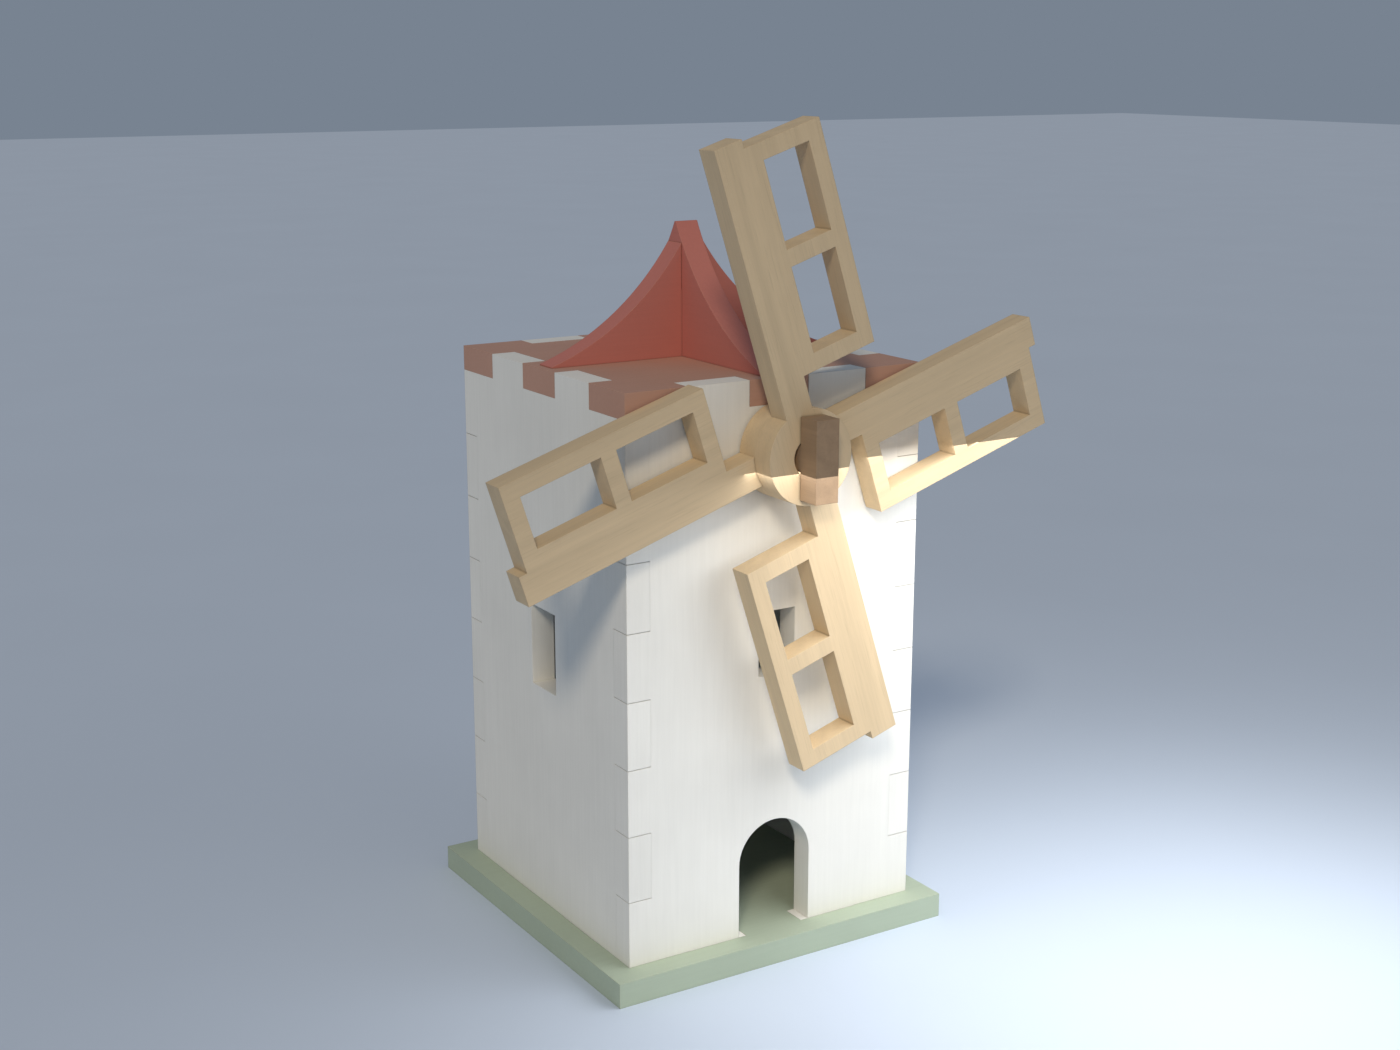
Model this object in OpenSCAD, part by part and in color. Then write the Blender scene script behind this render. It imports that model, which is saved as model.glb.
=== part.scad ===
// Model windmill, assembled from flat panels that are all cut from one sheet.
// The origin is the centre of the base plate's underside. +X is right, +Y is
// back and +Z is up, seen from the front, where the door and the sails are.

/* [Sheet] */
// Thickness of the sheet that every panel is cut from
sheet_t = 6; // [3:0.5:8]
// Clearance round each tab in its slot and in the roof's cross-lap
tab_clear = 0.1; // [0.05:0.05:0.3]
// Gap between one corner finger and the next
finger_gap = 0.15; // [0.05:0.05:0.3]

/* [House] */
// Outside width and depth of the house
house_w = 80; // [72:1:120]
// Height of the walls between the base plate and the deck
wall_h = 128; // [110:1:180]
// Number of fingers up each corner
finger_rows = 8; // [4:2:12]
// Lip of the base plate outside the walls
base_lip = 6; // [2:1:20]

/* [Tabs] */
// Width of each tab that a wall has in the base plate and the deck
tab_w = 16; // [8:1:20]
// Distance between the centres of a wall's two tabs
tab_pitch = 32; // [26:1:36]

/* [Door] */
// Width of the doorway, which ends in a half-round arch
door_w = 20; // [12:1:24]
// Height of the doorway's straight sides
door_spring = 18; // [10:1:26]

/* [Windows] */
// Width of the front window
front_window_w = 10; // [6:1:16]
// Height of the front window
front_window_h = 15.6; // [8:0.2:24]
// Height of the front window's sill above the base plate
front_window_sill = 64.1; // [50:0.1:76]
// Width of the window in the other walls
side_window_w = 12; // [6:1:24]
// Height of the window in the other walls
side_window_h = 20; // [8:1:32]
// Height of those windows' sill above the base plate
side_window_sill = 56; // [20:1:76]

/* [Roof] */
// Height of the roof above the deck
roof_h = 31.8; // [26:0.2:48]
// Radius of the hollow curve of each fin
roof_arc_r = 67; // [50:1:120]
// Distance from the deck's edge to the foot of each fin
roof_inset = 2; // [1:0.5:8]
// Height of the small blunt end at each fin's foot
roof_toe_h = 0.3; // [0.2:0.1:1.5]
// Width of the small flat at each fin's tip
roof_tip_w = 0.4; // [0.2:0.1:2]
// Height of the cross-lap where the two fins meet
roof_lap_h = 16; // [10:1:18]

/* [Axle] */
// Distance from the deck's underside down to the axle
axle_drop = 10.1; // [8:0.1:30]
// Width of the axle's stem and of its head, both square
axle_w = 6; // [4:0.5:8]
// Length of the axle's upright head
axle_head_l = 18.8; // [14:0.2:24]
// Play between the front wall and the rear hub
wall_play = 0.7; // [0.3:0.1:2]
// Play between the front hub and the axle's head
head_play = 0.2; // [0.2:0.1:1]

/* [Sails] */
// Turn of the sails from upright, to the left as seen from the front
sail_angle = 18; // [0:1:90]
// Diameter of the round hub that each pair of sails shares
hub_d = 22; // [18:0.5:30]
// Clearance between the hub's bore and the corners of the axle's stem
hub_clear = 0.25; // [0.2:0.05:1.5]
// Width of each sail's spar
spar_w = 7.1; // [5:0.1:10]
// Length of the spar past the sail frame's outer end
spar_tip = 2; // [0.5:0.5:10]
// Distance from the axle to the sail frame's inner end
frame_start = 18.1; // [16:0.1:26]
// Length of each of the two windows in a sail frame
sail_window_l = 20; // [12:1:26]
// Width of each window in a sail frame
sail_window_w = 12.1; // [6:0.1:18]
// Width of the sail frame's rails
rail_w = 3.9; // [2:0.1:6]

/* [Hidden] */
$fn = 96;

half_w = house_w / 2;
deck_z = sheet_t + wall_h;
row_h = wall_h / finger_rows;
tab_sides = [-1, 1];
cut = 1; // how far a cut runs past the face that it opens

axle_h = wall_h - axle_drop; // above the base plate's top
hub_z = sheet_t + axle_h;
rear_hub_y = -half_w - wall_play;
front_hub_y = rear_hub_y - sheet_t;
head_y = front_hub_y - sheet_t - head_play;
hub_bore_d = sqrt(pow(sheet_t, 2) + pow(axle_w, 2)) + 2 * hub_clear;
stem_l = sheet_t + wall_play + 2 * sheet_t + head_play;

frame_l = 2 * sail_window_l + 3 * rail_w;
frame_w = sail_window_w + 2 * rail_w;
spar_l = frame_start + frame_l + spar_tip;

// Half-width of a fin at its foot, and the centre of its hollow curve, which
// runs from the top of the toe to the edge of the tip.
foot_x = half_w - roof_inset;
chord = [roof_tip_w / 2 - foot_x, roof_h - roof_toe_h];
arc_reach = sqrt(pow(roof_arc_r, 2) - pow(norm(chord) / 2, 2));
arc_centre = [foot_x, roof_toe_h] + chord / 2
    + arc_reach * [chord[1], -chord[0]] / norm(chord);

// A flat shape drawn as seen from the front, stood up as a panel whose back
// face is at y.
module stand_up(y, z) {
    translate([0, y, z])
        rotate([90, 0, 0])
            linear_extrude(sheet_t)
                children();
}

// A rectangle from its lower edge up, centred on x = 0.
module centred_window(w, h, sill) {
    translate([-w / 2, sill])
        square([w, h]);
}

module arched_doorway() {
    translate([-door_w / 2, 0])
        square([door_w, door_spring]);
    translate([0, door_spring])
        circle(d = door_w);
}

// The fingers of one wall in every second row, starting at first_row.
module corner_fingers(first_row) {
    for (row = [first_row : 2 : finger_rows - 1]) {
        low = row == 0 ? 0 : finger_gap / 2;
        high = row == finger_rows - 1 ? 0 : finger_gap / 2;
        translate([-half_w, row * row_h + low])
            square([house_w, row_h - low - high]);
    }
}

// A wall with its corner fingers and its tabs, from the base plate's top up.
module wall_outline(first_row) {
    translate([sheet_t - half_w, 0])
        square([house_w - 2 * sheet_t, wall_h]);
    corner_fingers(first_row);
    for (side = tab_sides)
        translate([side * tab_pitch / 2 - tab_w / 2, -sheet_t])
            square([tab_w, wall_h + 2 * sheet_t]);
}

// The slots or notches for the tabs of all four walls, running out past the
// walls' outer face by lip.
module tab_slots(lip) {
    for (turn = [0 : 90 : 270])
        rotate(turn)
            for (side = tab_sides)
                translate([
                    side * tab_pitch / 2 - tab_w / 2 - tab_clear,
                    -half_w - lip
                ])
                    square([
                        tab_w + 2 * tab_clear,
                        sheet_t + tab_clear + lip
                    ]);
}

module windowed_wall() {
    stand_up(sheet_t - half_w, sheet_t)
        difference() {
            children();
            centred_window(side_window_w, side_window_h, side_window_sill);
        }
}

module base_plate() {
    color([0.56, 0.66, 0.56])
        linear_extrude(sheet_t)
            difference() {
                square(house_w + 2 * base_lip, center = true);
                tab_slots(tab_clear);
            }
}

module front_wall() {
    socket_w = sheet_t + 2 * tab_clear;
    socket_h = axle_w + 2 * tab_clear;
    color([0.93, 0.93, 0.92])
        stand_up(sheet_t - half_w, sheet_t)
            difference() {
                wall_outline(0);
                arched_doorway();
                centred_window(
                    front_window_w, front_window_h, front_window_sill
                );
                centred_window(socket_w, socket_h, axle_h - socket_h / 2);
            }
}

module back_wall() {
    color([0.93, 0.93, 0.92])
        rotate(180)
            windowed_wall()
                wall_outline(0);
}

module left_wall() {
    color([0.93, 0.93, 0.92])
        rotate(-90)
            windowed_wall()
                wall_outline(1);
}

module right_wall() {
    color([0.93, 0.93, 0.92])
        rotate(90)
            windowed_wall()
                wall_outline(1);
}

module roof_deck() {
    color([0.6, 0.42, 0.36])
        translate([0, 0, deck_z])
            linear_extrude(sheet_t)
                difference() {
                    square(house_w, center = true);
                    tab_slots(cut);
                }
}

// One roof fin, with a slot for the other one between slot_low and slot_high.
module roof_fin(slot_low, slot_high) {
    slot_w = sheet_t + 2 * tab_clear;
    translate([0, sheet_t / 2, deck_z + sheet_t])
        rotate([90, 0, 0])
            linear_extrude(sheet_t)
                difference() {
                    translate([-foot_x, 0])
                        square([2 * foot_x, roof_h]);
                    for (side = [0, 1])
                        mirror([side, 0])
                            translate(arc_centre)
                                circle(r = roof_arc_r, $fn = 360);
                    translate([-slot_w / 2, slot_low])
                        square([slot_w, slot_high - slot_low]);
                }
}

module roof_fin_sideways() {
    color([0.68, 0.3, 0.25])
        roof_fin(roof_lap_h, roof_h + cut);
}

module roof_fin_lengthways() {
    color([0.68, 0.3, 0.25])
        rotate(90)
            roof_fin(-cut, roof_lap_h);
}

// A T cut from the sheet: a stem along Y and an upright head in front.
module axle_pin() {
    color([0.45, 0.36, 0.28])
        translate([-sheet_t / 2, head_y, hub_z]) {
            translate([0, -axle_w, -axle_head_l / 2])
                cube([sheet_t, axle_w, axle_head_l]);
            translate([0, -axle_w / 2, -axle_w / 2])
                cube([sheet_t, axle_w / 2 + stem_l, axle_w]);
        }
}

// One sail pointing up: a spar with a two-window frame on its right.
module sail_outline() {
    translate([-spar_w / 2, 0])
        square([spar_w, spar_l]);
    translate([-spar_w / 2, frame_start])
        difference() {
            square([spar_w + frame_w, frame_l]);
            for (i = [0, 1])
                translate([
                    spar_w + rail_w,
                    rail_w + i * (sail_window_l + rail_w)
                ])
                    square([sail_window_w, sail_window_l]);
        }
}

// Two opposite sails and their hub, one cut piece, turned by turn degrees.
module sail_pair(turn, back_y) {
    color([0.84, 0.74, 0.56])
        stand_up(back_y, hub_z)
            rotate(turn)
                difference() {
                    union() {
                        circle(d = hub_d);
                        for (half_turn = [0, 180])
                            rotate(half_turn)
                                sail_outline();
                    }
                    circle(d = hub_bore_d);
                }
}

module front_sails() {
    sail_pair(sail_angle, front_hub_y);
}

module rear_sails() {
    sail_pair(sail_angle + 90, rear_hub_y);
}

base_plate();
front_wall();
back_wall();
left_wall();
right_wall();
roof_deck();
roof_fin_sideways();
roof_fin_lengthways();
axle_pin();
front_sails();
rear_sails();
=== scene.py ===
"""Looks for the model windmill: matt painted panels and bare wood sails, in the studio light of a small set.

Sizes are in metres unless a name says otherwise. The patterns are solid ones, laid out in millimetres.
"""

import math

import bpy
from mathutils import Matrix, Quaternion, Vector

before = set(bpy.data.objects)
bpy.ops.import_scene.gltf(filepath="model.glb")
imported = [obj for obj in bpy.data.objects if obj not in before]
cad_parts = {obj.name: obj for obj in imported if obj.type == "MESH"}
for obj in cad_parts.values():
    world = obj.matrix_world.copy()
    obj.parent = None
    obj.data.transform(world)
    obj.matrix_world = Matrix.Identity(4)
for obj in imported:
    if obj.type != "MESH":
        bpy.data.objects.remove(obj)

MM = 0.001
PER_MM = 1000.0
SAIL_TURN = 18.0  # degrees from upright, to the left as seen from the front

# ---------------------------------------------------------------- colours, linear
GREEN = (0.425, 0.50, 0.39)
WHITE = (0.845, 0.835, 0.785)
BROWN = (0.528, 0.305, 0.228)
RED = (0.56, 0.195, 0.158)
OAK = (0.335, 0.226, 0.138)
TAN = (0.679, 0.525, 0.331)
RAW_WOOD = (0.66, 0.52, 0.35)
RUBBED_WHITE = (0.81, 0.79, 0.725)
FLOOR = (0.6, 0.68, 0.8)
AIR = (0.188, 0.227, 0.283)

# ---------------------------------------------------------------- grain directions
# Turns, in degrees, that bring each grain direction to the pattern's Z axis.
GRAIN_UP = (0.0, 0.0, 0.0)
GRAIN_ACROSS = (0.0, -90.0, 0.0)
GRAIN_DEEP = (90.0, 0.0, 0.0)
GRAIN_FRONT_SAILS = (0.0, SAIL_TURN, 0.0)
GRAIN_REAR_SAILS = (0.0, SAIL_TURN + 90.0, 0.0)
GRAIN_STRETCH = 26.0

# How far the patterns of one piece lie from those of the next, in pattern units
NO_OFFSET = (0.0, 0.0, 0.0)
PANEL_STEP = (37.0, 11.0, 3.0)
WOOD_STEP = (53.0, 19.0, 5.0)

# ---------------------------------------------------------------- noise patterns
# Most of a noise pattern's values lie in this span.
NOISE_SPAN = (0.3, 0.7)
PAINT_FIBRES = {"per_mm": 1.3, "detail": 3.0, "rough": 0.6}
PAINT_CLOUDS = {"per_mm": 0.035, "detail": 3.0}
PAINT_STIPPLE = {"per_mm": 1.6, "detail": 2.0, "rough": 0.55}
WOOD_BANDS = {"per_mm": 0.28, "detail": 2.0, "rough": 0.45, "bend": 0.6}
WOOD_FIBRES = {"per_mm": 1.5, "detail": 4.0, "rough": 0.65}
WOOD_PORES = {"per_mm": 3.2, "detail": 1.0}
WOOD_CLOUDS = {"per_mm": 0.03, "detail": 2.0}
RUBBED_PATCHES = {"per_mm": 0.33, "detail": 4.0, "rough": 0.6}
FLOOR_CLOUDS = {"per_mm": 0.01, "detail": 3.0}

# ---------------------------------------------------------------- finishes
# The depths are shares of the colour, and the roughness runs from 0 to 1.
MATT_SPECULAR = 0.3
PAINT_CLOUD_DEPTH = 0.035
PAINT_FIBRE_DEPTH = 0.02
PAINT_ROUGHNESS = (0.58, 0.74)
PAINT_POLISH = 0.15  # how much smoother the paint is where it is rubbed
STIPPLE_HEIGHT = 0.7  # against the fibres' height
PAINT_RELIEF = {"strength": 0.25, "depth": 0.05 * MM}

WOOD_CLOUD_DEPTH = 0.03
WOOD_FIBRE_SHARE = 0.7  # of the figure's depth
# depth of the shade painted into the wood's inside corners
WOOD_CREVICE_SHADE = 0.3
WOOD_ROUGHNESS = (0.55, 0.72)
WOOD_POLISH = 0.12  # how much smoother the wood is where it is rubbed
PORE_SPAN = (0.60, 0.72)
PORE_DARKNESS = 0.72  # the pores' colour against the wood's
PORE_SHARE = 0.25  # how much of that colour a pore takes
PORE_HEIGHT = 0.5  # against the fibres' height
WOOD_RELIEF = {"strength": 0.3, "depth": 0.06 * MM}

FLOOR_CLOUD_DEPTH = 0.01
FLOOR_ROUGHNESS = 0.9

# ---------------------------------------------------------------- edges, and shade painted into corners
EDGE_RADIUS = 0.2 * MM
EDGE_SAMPLES = 6
EDGE_SPAN = (0.995, 0.80)  # cosine of a rounded edge's turn, from off the edge to on it
RUBBED_SPAN = (0.42, 0.66)  # of the patches' noise
RUBBED_SHARE = (0.1, 0.85)
# Shade painted into the colour at inside corners, found by ambient occlusion.
CREVICE_SHADE_REACH = 0.7 * MM
CREVICE_SHADE_SAMPLES = 8
CREVICE_SHADE_SPAN = (0.5, 0.9)  # how open a place is, from in a corner to away from it

# ---------------------------------------------------------------- floor, camera and light
CAMERA_PLACE = (-0.2428, -0.3947, 0.2124)
CAMERA_TURN = (76.063, -0.048, -32.008)
CAMERA_LENS = 49.83  # millimetres, as is the sensor's width
CAMERA_SENSOR = 36.0
CAMERA_CLIP = (0.01, 50.0)
FLOOR_HALF = 4.25
SOFTBOX_PLACE = (0.0748, -0.1246, 0.12055)
SOFTBOX_WIDTH = 0.177
SOFTBOX_DEPTH = 0.157
SOFTBOX_POWER = 0.258
FILL_FROM = (-0.49, -0.623, 0.61)
FILL_STRENGTH = 1.322
FILL_COLOUR = (1.0, 0.87, 0.69)
FILL_SOFTNESS = 10.8


# ---------------------------------------------------------------- colour helpers
def brightened(colour, share):
    return tuple(share * c for c in colour)


def towards_wood(colour, share):
    """colour brought part of the way to raw wood."""
    return tuple(c + (w - c) * share for c, w in zip(colour, RAW_WOOD))


# ---------------------------------------------------------------- node helpers
def add_node(tree, kind, inputs=None, **settings):
    """A shader node with its settings, and with each input linked to a socket or set to a value."""
    made = tree.nodes.new("ShaderNode" + kind)
    for key, value in settings.items():
        setattr(made, key, value)
    for key, value in (inputs or {}).items():
        if isinstance(value, bpy.types.NodeSocket):
            tree.links.new(value, made.inputs[key])
        else:
            made.inputs[key].default_value = value
    return made


def math_node(tree, operation, a, b):
    return add_node(tree, "Math", {0: a, 1: b}, operation=operation).outputs[0]


def mix_colours(tree, share, a, b, blend="MIX"):
    """Colour a brought towards colour b by share."""
    made = add_node(tree, "Mix", data_type="RGBA", blend_type=blend)
    sockets = {socket.identifier: socket for socket in made.inputs}
    for key, value in (("Factor_Float", share), ("A_Color", a), ("B_Color", b)):
        if isinstance(value, bpy.types.NodeSocket):
            tree.links.new(value, sockets[key])
        elif isinstance(value, tuple):
            sockets[key].default_value = (*value, 1.0)
        else:
            sockets[key].default_value = value
    return next(s for s in made.outputs if s.identifier == "Result_Color")


def multiply_colour(tree, colour, amount):
    grey = add_node(tree, "CombineColor", {0: amount, 1: amount, 2: amount}).outputs[0]
    return mix_colours(tree, 1.0, colour, grey, "MULTIPLY")


def remap(tree, value, from_span, to_span):
    """value brought from one span to another, and kept inside it."""
    inputs = {0: value, 1: from_span[0], 2: from_span[1], 3: to_span[0], 4: to_span[1]}
    return add_node(tree, "MapRange", inputs).outputs[0]


def solid_places(tree, turn, offset, stretch):
    """Places in the piece in millimetres, shortened stretch times along its grain."""
    own = add_node(tree, "TexCoord").outputs["Object"]
    angles = [math.radians(a) for a in turn]
    turned = add_node(tree, "Mapping", {"Vector": own, "Rotation": angles}).outputs[0]
    scale = (PER_MM, PER_MM, PER_MM / stretch)
    inputs = {"Vector": turned, "Location": offset, "Scale": scale}
    return add_node(tree, "Mapping", inputs).outputs[0]


def noise(tree, places, per_mm, detail, rough=0.5, bend=0.0):
    inputs = {
        "Vector": places,
        "Scale": per_mm,
        "Detail": detail,
        "Roughness": rough,
        "Distortion": bend,
    }
    return add_node(tree, "TexNoise", inputs).outputs["Fac"]


def shade(tree, colour, pattern, depth):
    """colour made darker and lighter by the pattern, by depth at most."""
    amount = remap(tree, pattern, NOISE_SPAN, (1.0 - depth, 1.0 + depth))
    return multiply_colour(tree, colour, amount)


def rounded_edges(tree):
    """The normal of slightly rounded edges, and a share that is 1 on an edge and 0 away from it."""
    inputs = {"Radius": EDGE_RADIUS}
    rounded = add_node(tree, "Bevel", inputs, samples=EDGE_SAMPLES).outputs[0]
    flat = add_node(tree, "NewGeometry").outputs["True Normal"]
    same = add_node(tree, "VectorMath", {0: rounded, 1: flat}, operation="DOT_PRODUCT")
    return rounded, remap(tree, same.outputs["Value"], EDGE_SPAN, (0.0, 1.0))


def rub_edges(tree, colour, wear, edge, places):
    """colour rubbed towards the worn colour in patches along the edges, and how much."""
    patches = noise(tree, places, **RUBBED_PATCHES)
    patches = remap(tree, patches, RUBBED_SPAN, RUBBED_SHARE)
    rubbed = math_node(tree, "MULTIPLY", edge, patches)
    return mix_colours(tree, rubbed, colour, wear), rubbed


def paint_crevice_shade(tree, colour, depth):
    """colour darkened where it meets another face at an inside corner: shade painted into the colour."""
    inputs = {"Distance": CREVICE_SHADE_REACH}
    occlusion = add_node(tree, "AmbientOcclusion", inputs, samples=CREVICE_SHADE_SAMPLES)
    # Painted shade: the colour is darkened by ambient occlusion in inside corners and between parts.
    amount = remap(tree, occlusion.outputs["AO"], CREVICE_SHADE_SPAN, (1.0 - depth, 1.0))
    return multiply_colour(tree, colour, amount)


def bump(tree, height, normal, strength, depth):
    inputs = {"Strength": strength, "Distance": depth, "Height": height, "Normal": normal}
    return add_node(tree, "Bump", inputs).outputs[0]


def polished(tree, roughness, rubbed, polish):
    """roughness made smoother by polish where the surface is rubbed."""
    smoother = math_node(tree, "MULTIPLY", rubbed, polish)
    return math_node(tree, "SUBTRACT", roughness, smoother)


# ---------------------------------------------------------------- materials
def new_material(name):
    made = bpy.data.materials.new(name)
    made.use_nodes = True
    shader = made.node_tree.nodes["Principled BSDF"]
    shader.inputs["Specular IOR Level"].default_value = MATT_SPECULAR
    return made, made.node_tree, shader


def connect(tree, shader, colour, roughness, normal):
    tree.links.new(colour, shader.inputs["Base Color"])
    tree.links.new(roughness, shader.inputs["Roughness"])
    tree.links.new(normal, shader.inputs["Normal"])


def painted_panel(name, colour, wear, turn, offset, crevice_shade):
    """Matt paint on a wood sheet: faint fibres, a roller's stipple, soft clouds, rubbed edges and shade
    painted into inside corners.
    """
    made, tree, shader = new_material(name)
    along = solid_places(tree, turn, offset, GRAIN_STRETCH)
    even = solid_places(tree, turn, offset, 1.0)
    fibres = noise(tree, along, **PAINT_FIBRES)
    clouds = noise(tree, even, **PAINT_CLOUDS)
    stipple = noise(tree, even, **PAINT_STIPPLE)
    rounded, edge = rounded_edges(tree)

    paint = shade(tree, colour, clouds, PAINT_CLOUD_DEPTH)
    paint = shade(tree, paint, fibres, PAINT_FIBRE_DEPTH)
    paint, rubbed = rub_edges(tree, paint, wear, edge, even)
    # Painted shade: darker where the panel meets another face at an inside corner.
    paint = paint_crevice_shade(tree, paint, crevice_shade)

    roughness = remap(tree, stipple, NOISE_SPAN, PAINT_ROUGHNESS)
    roughness = polished(tree, roughness, rubbed, PAINT_POLISH)

    grit = math_node(tree, "MULTIPLY", stipple, STIPPLE_HEIGHT)
    relief = math_node(tree, "ADD", fibres, grit)
    connect(tree, shader, paint, roughness, bump(tree, relief, rounded, **PAINT_RELIEF))
    return made


def bare_wood(name, colour, wear, turn, offset, figure):
    """Fine-grained wood: soft growth bands, fibres and pores along the grain, rubbed edges and shade painted
    into inside corners.
    """
    made, tree, shader = new_material(name)
    along = solid_places(tree, turn, offset, GRAIN_STRETCH)
    even = solid_places(tree, turn, offset, 1.0)
    bands = noise(tree, along, **WOOD_BANDS)
    fibres = noise(tree, along, **WOOD_FIBRES)
    pores = remap(tree, noise(tree, along, **WOOD_PORES), PORE_SPAN, (0.0, 1.0))
    clouds = noise(tree, even, **WOOD_CLOUDS)
    rounded, edge = rounded_edges(tree)

    wood = shade(tree, colour, clouds, WOOD_CLOUD_DEPTH)
    wood = shade(tree, wood, bands, figure)
    wood = shade(tree, wood, fibres, figure * WOOD_FIBRE_SHARE)
    in_pores = math_node(tree, "MULTIPLY", pores, PORE_SHARE)
    wood = mix_colours(tree, in_pores, wood, brightened(colour, PORE_DARKNESS))
    wood, rubbed = rub_edges(tree, wood, wear, edge, even)
    # Painted shade: darker where the wood meets another face at an inside corner.
    wood = paint_crevice_shade(tree, wood, WOOD_CREVICE_SHADE)

    roughness = remap(tree, fibres, NOISE_SPAN, WOOD_ROUGHNESS)
    roughness = polished(tree, roughness, rubbed, WOOD_POLISH)

    pits = math_node(tree, "MULTIPLY", pores, PORE_HEIGHT)
    relief = math_node(tree, "SUBTRACT", fibres, pits)
    connect(tree, shader, wood, roughness, bump(tree, relief, rounded, **WOOD_RELIEF))
    return made


def panel_finishes():
    """Each painted panel's material. Every panel has its own cut of the solid patterns."""
    # colour, rubbed colour, grain and depth of the shade painted into its crevices
    panels = {
        "base_plate": (GREEN, towards_wood(GREEN, 0.5), GRAIN_ACROSS, 0.1),
        "front_wall": (WHITE, RUBBED_WHITE, GRAIN_UP, 0.06),
        "back_wall": (WHITE, RUBBED_WHITE, GRAIN_UP, 0.06),
        "left_wall": (WHITE, RUBBED_WHITE, GRAIN_UP, 0.06),
        "right_wall": (WHITE, RUBBED_WHITE, GRAIN_UP, 0.06),
        "roof_deck": (BROWN, towards_wood(BROWN, 0.5), GRAIN_ACROSS, 0.3),
        "roof_fin_sideways": (RED, towards_wood(RED, 0.45), GRAIN_ACROSS, 0.12),
        "roof_fin_lengthways": (RED, towards_wood(RED, 0.45), GRAIN_DEEP, 0.12),
    }
    made = {}
    for i, (node, (colour, wear, turn, crevice_shade)) in enumerate(panels.items()):
        offset = tuple(i * step for step in PANEL_STEP)
        name = "paint_" + node
        made[node] = painted_panel(name, colour, wear, turn, offset, crevice_shade)
    return made


def wood_finishes():
    """The materials of the sails and the axle, which aren't painted."""
    # colour, rubbed colour, grain and depth of its figure
    pieces = {
        "front_sails": (TAN, brightened(TAN, 1.12), GRAIN_FRONT_SAILS, 0.05),
        "rear_sails": (TAN, brightened(TAN, 1.12), GRAIN_REAR_SAILS, 0.05),
        "axle_pin": (OAK, brightened(OAK, 1.25), GRAIN_DEEP, 0.09),
    }
    made = {}
    for i, (node, (colour, wear, turn, figure)) in enumerate(pieces.items()):
        offset = tuple(i * step for step in WOOD_STEP)
        made[node] = bare_wood("wood_" + node, colour, wear, turn, offset, figure)
    return made


def dress_model():
    for node, material in {**panel_finishes(), **wood_finishes()}.items():
        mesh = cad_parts[node].data
        mesh.materials.clear()
        mesh.materials.append(material)


# ---------------------------------------------------------------- set
def floor_material():
    made, tree, shader = new_material("pale_floor")
    places = solid_places(tree, GRAIN_UP, NO_OFFSET, 1.0)
    clouds = noise(tree, places, **FLOOR_CLOUDS)
    tone = shade(tree, FLOOR, clouds, FLOOR_CLOUD_DEPTH)
    tree.links.new(tone, shader.inputs["Base Color"])
    shader.inputs["Roughness"].default_value = FLOOR_ROUGHNESS
    shader.inputs["Specular IOR Level"].default_value = 0.0
    return made


def make_floor():
    """A wide pale floor, which the model stands on."""
    signs = [(-1, -1), (1, -1), (1, 1), (-1, 1)]
    corners = [(x * FLOOR_HALF, y * FLOOR_HALF, 0.0) for x, y in signs]
    mesh = bpy.data.meshes.new("floor")
    mesh.from_pydata(corners, [], [(0, 1, 2, 3)])
    mesh.materials.append(floor_material())
    floor = bpy.data.objects.new("floor", mesh)
    bpy.context.collection.objects.link(floor)


def make_air():
    """Even, faintly blue light from all round."""
    world = bpy.data.worlds.new("studio_air")
    world.use_nodes = True
    sky = world.node_tree.nodes["Background"]
    sky.inputs["Color"].default_value = (*AIR, 1.0)
    sky.inputs["Strength"].default_value = 1.0
    bpy.context.scene.world = world


def add_light(name, kind, place, turn, **settings):
    data = bpy.data.lights.new(name, kind)
    for key, value in settings.items():
        setattr(data, key, value)
    light = bpy.data.objects.new(name, data)
    light.location = place
    light.rotation_mode = "QUATERNION"
    light.rotation_quaternion = turn
    bpy.context.collection.objects.link(light)
    return light


def make_softbox():
    """A low softbox at the front right, facing straight down. Nothing above it gets its light."""
    softbox = add_light(
        "softbox",
        "AREA",
        SOFTBOX_PLACE,
        Quaternion(),
        shape="RECTANGLE",
        size=SOFTBOX_WIDTH,
        size_y=SOFTBOX_DEPTH,
        energy=SOFTBOX_POWER,
    )
    softbox.visible_camera = False


def make_fill():
    """A soft warm light from the front left."""
    source = Vector(FILL_FROM).normalized()
    add_light(
        "fill",
        "SUN",
        source,
        source.to_track_quat("Z", "Y"),
        energy=FILL_STRENGTH,
        color=FILL_COLOUR,
        angle=math.radians(FILL_SOFTNESS),
    )


def make_camera():
    data = bpy.data.cameras.new("camera")
    data.sensor_width = CAMERA_SENSOR
    data.lens = CAMERA_LENS
    data.clip_start, data.clip_end = CAMERA_CLIP
    camera = bpy.data.objects.new("camera", data)
    camera.location = CAMERA_PLACE
    camera.rotation_euler = [math.radians(a) for a in CAMERA_TURN]
    bpy.context.collection.objects.link(camera)
    bpy.context.scene.camera = camera


def set_tone():
    """Plain colours, with no film curve over them."""
    settings = bpy.context.scene.view_settings
    settings.view_transform = "Standard"
    settings.look = "None"


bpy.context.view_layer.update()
dress_model()
make_floor()
make_air()
make_softbox()
make_fill()
make_camera()
set_tone()
